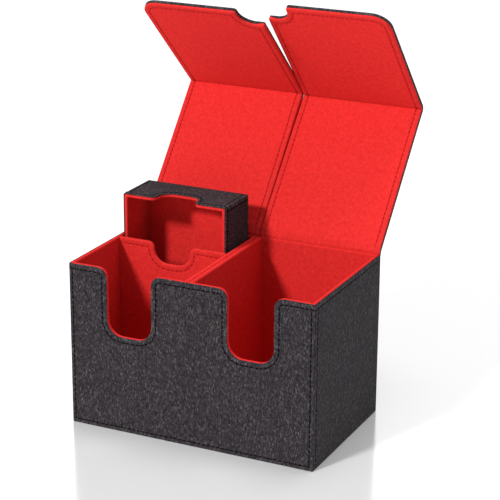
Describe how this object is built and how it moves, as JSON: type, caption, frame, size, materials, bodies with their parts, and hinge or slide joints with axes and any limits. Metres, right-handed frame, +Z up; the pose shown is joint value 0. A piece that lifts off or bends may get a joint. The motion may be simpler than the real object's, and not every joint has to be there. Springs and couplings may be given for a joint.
{
  "type": "card deck box",
  "caption": "Cloth-covered box with two card bays, a front thumb cut-out in each, a lift-out tray and two folding lids with flaps.",
  "frame": {"origin": "centre of the underside of the box", "axes": "+Z up, +X along the box's width to the right as seen from the front, +Y to the back, where the lids hinge"},
  "size_m": [0.156, 0.1581, 0.2422],
  "materials": {
    "cover_cloth": "charcoal heathered linen weave",
    "suede_lining": "red brushed suede",
    "greyboard": "bare greyboard",
    "magnet": "nickel-plated disc",
    "cover_thread": "black lockstitch thread",
    "lining_thread": "dark red lockstitch thread"
  },
  "bodies": {
    "box": {"front_cover": "cover_cloth", "rear_cover": "cover_cloth", "left_cover": "cover_cloth", "right_cover": "cover_cloth", "base_cover": "cover_cloth", "front_board": "greyboard", "rear_board": "greyboard", "left_board": "greyboard", "right_board": "greyboard", "base_board": "greyboard", "left_divider_board": "greyboard", "left_divider_lining": "suede_lining", "left_bay_front_lining": "suede_lining", "left_bay_rear_lining": "suede_lining", "left_bay_outer_lining": "suede_lining", "left_bay_floor_lining": "suede_lining", "right_divider_board": "greyboard", "right_divider_lining": "suede_lining", "right_bay_front_lining": "suede_lining", "right_bay_rear_lining": "suede_lining", "right_bay_outer_lining": "suede_lining", "right_bay_floor_lining": "suede_lining", "partition_board": "greyboard", "partition_lining": "suede_lining", "front_magnet_1": "magnet", "front_magnet_2": "magnet", "front_magnet_3": "magnet", "front_magnet_4": "magnet"},
    "tray": {"tray_cover": "cover_cloth", "tray_lining": "suede_lining", "tray_top_board": "greyboard", "tray_bottom_board": "greyboard", "tray_left_board": "greyboard", "tray_right_board": "greyboard", "tray_back_board": "greyboard"},
    "left_panel": {"left_panel_cover": "cover_cloth", "left_panel_board": "greyboard", "left_panel_lining": "suede_lining", "left_hinge_cloth": "cover_cloth"},
    "left_flap": {"left_flap_cover": "cover_cloth", "left_flap_board": "greyboard", "left_flap_lining": "suede_lining", "left_fold_cloth": "cover_cloth", "left_flap_magnet_outer": "magnet", "left_flap_magnet_inner": "magnet"},
    "right_panel": {"right_panel_cover": "cover_cloth", "right_panel_board": "greyboard", "right_panel_lining": "suede_lining", "right_hinge_cloth": "cover_cloth"},
    "right_flap": {"right_flap_cover": "cover_cloth", "right_flap_board": "greyboard", "right_flap_lining": "suede_lining", "right_fold_cloth": "cover_cloth", "right_flap_magnet_outer": "magnet", "right_flap_magnet_inner": "magnet"}
  },
  "joints": [
    {"name": "left_lid_hinge", "type": "hinge", "parent": "box", "child": "left_panel", "pos_m": [0, 0.0459, 0.10195], "axis": [1, 0, 0], "range_deg": [-80.5, 130.2]},
    {"name": "left_flap_fold", "type": "hinge", "parent": "left_panel", "child": "left_flap", "pos_m": [0, 0.10777, 0.17516], "axis": [1, 0, 0], "range_deg": [-87.4, 2.6]},
    {"name": "right_lid_hinge", "type": "hinge", "parent": "box", "child": "right_panel", "pos_m": [0, 0.0459, 0.10195], "axis": [1, 0, 0], "range_deg": [-79.3, 131.4]},
    {"name": "right_flap_fold", "type": "hinge", "parent": "right_panel", "child": "right_flap", "pos_m": [0, 0.10929, 0.17385], "axis": [1, 0, 0], "range_deg": [-84.1, 5.9]},
    {"name": "tray_slide", "type": "slide", "parent": "box", "child": "tray", "axis": [0, 0, 1], "range_m": [-0.0419, 0.026]}
  ],
  "couplings": [
    {"joint": "tray_slide", "follows": "left_lid_hinge", "m_per_rad": -0.0184}
  ]
}
